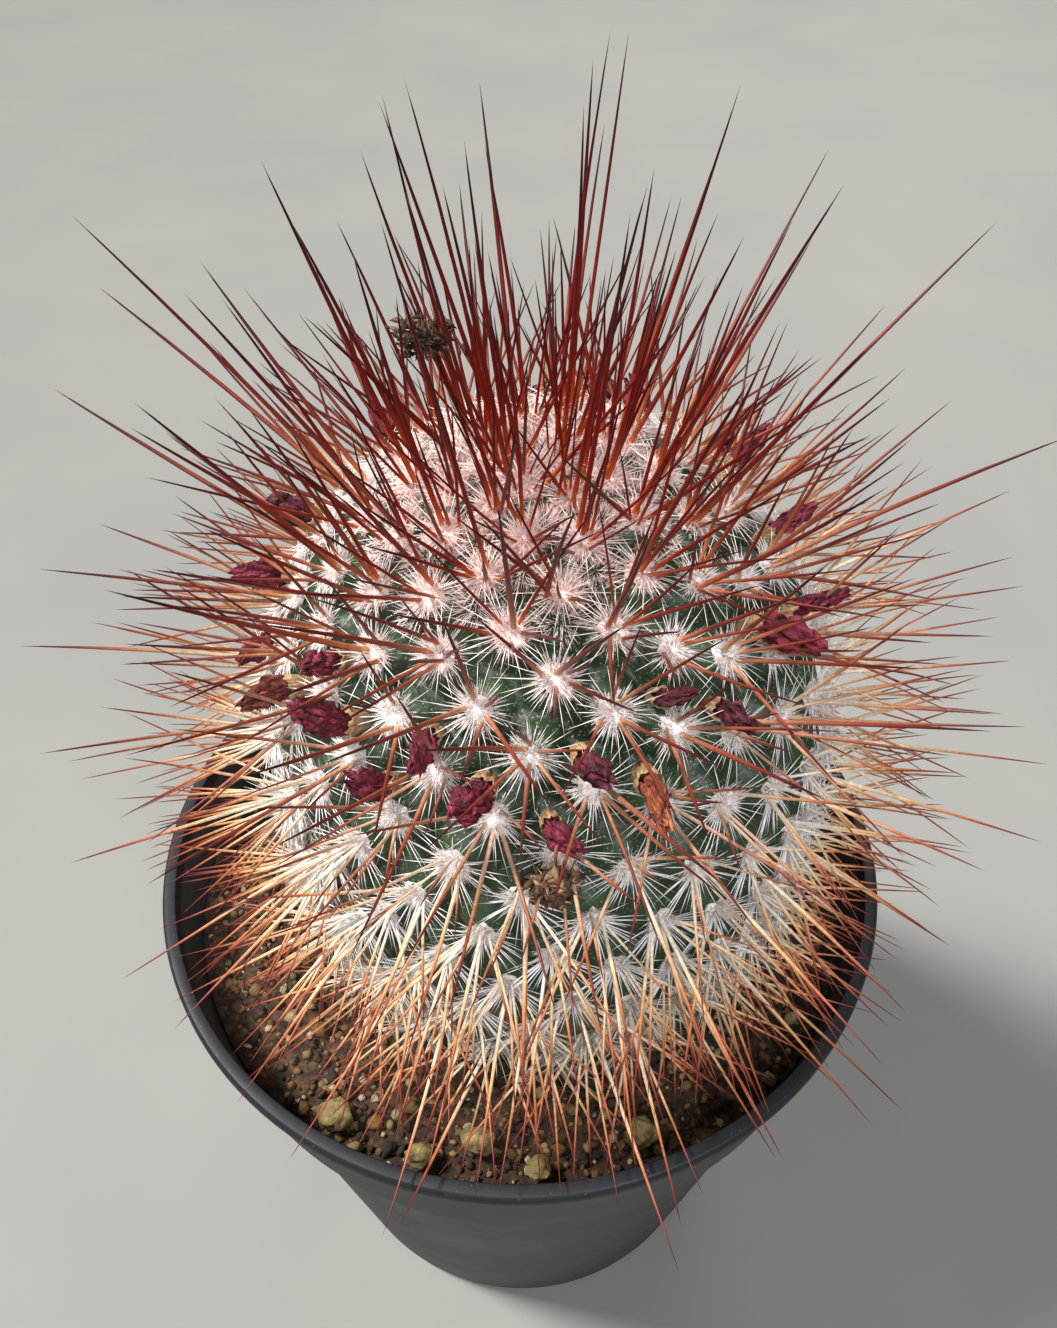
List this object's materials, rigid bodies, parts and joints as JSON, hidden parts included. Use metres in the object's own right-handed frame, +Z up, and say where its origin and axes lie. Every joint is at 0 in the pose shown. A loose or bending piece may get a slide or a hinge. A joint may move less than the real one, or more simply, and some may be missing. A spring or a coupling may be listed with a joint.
{
  "type": "potted round cactus",
  "caption": "Round spiny cactus with white wool, long red spines and a ring of dried flowers, growing in gritty mix in a small tapered nursery pot.",
  "frame": {"origin": "centre of the pot's flat underside", "axes": "+Z up through the pot, +X to the right and -Y towards the viewer at the front"},
  "size_m": [0.1132, 0.1152, 0.1873],
  "materials": {
    "pot_plastic": "thin moulded grey-black plastic, satin, with fine turning lines",
    "potting_mix": "dark damp potting mix with bark crumbs and fine grit",
    "grit": "rough matt greenish tan grit stones",
    "stem_skin": "dark green waxy plant skin with fine pale specks",
    "spines": "smooth horny spines, tan to orange red with near-black tips, on white wool",
    "dried_flower": "crumpled dry petals, dark magenta with tan husks",
    "plant_debris": "crumbly brown dry plant bits"
  },
  "bodies": {
    "root": {"pot": "pot_plastic", "potting_mix": "potting_mix", "grit_stone_1": "grit", "grit_stone_2": "grit", "grit_stone_3": "grit", "grit_stone_4": "grit", "grit_stone_5": "grit", "grit_stone_6": "grit", "grit_stone_7": "grit", "stem": "stem_skin", "spine_row_01": "spines", "spine_row_02": "spines", "spine_row_03": "spines", "spine_row_04": "spines", "spine_row_05": "spines", "spine_row_06": "spines", "spine_row_07": "spines", "spine_row_08": "spines", "spine_row_09": "spines", "spine_row_10": "spines", "spine_row_11": "spines", "spine_row_12": "spines", "spine_row_13": "spines", "dried_flower_01": "dried_flower", "dried_flower_02": "dried_flower", "dried_flower_03": "dried_flower", "dried_flower_04": "dried_flower", "dried_flower_05": "dried_flower", "dried_flower_06": "dried_flower", "dried_flower_07": "dried_flower", "dried_flower_08": "dried_flower", "dried_flower_09": "dried_flower", "dried_flower_10": "dried_flower", "dried_flower_11": "dried_flower", "dried_flower_12": "dried_flower", "dried_flower_13": "dried_flower", "dried_flower_14": "dried_flower", "dried_flower_15": "dried_flower", "dried_flower_16": "dried_flower", "dried_flower_17": "dried_flower", "dried_flower_18": "dried_flower", "dried_flower_19": "dried_flower", "dried_flower_20": "dried_flower", "dried_flower_21": "dried_flower", "dried_flower_22": "dried_flower", "dried_flower_23": "dried_flower", "dried_flower_24": "dried_flower", "seed_husk": "plant_debris", "caught_debris_crown": "plant_debris", "caught_debris_front": "plant_debris"}
  },
  "joints": []
}
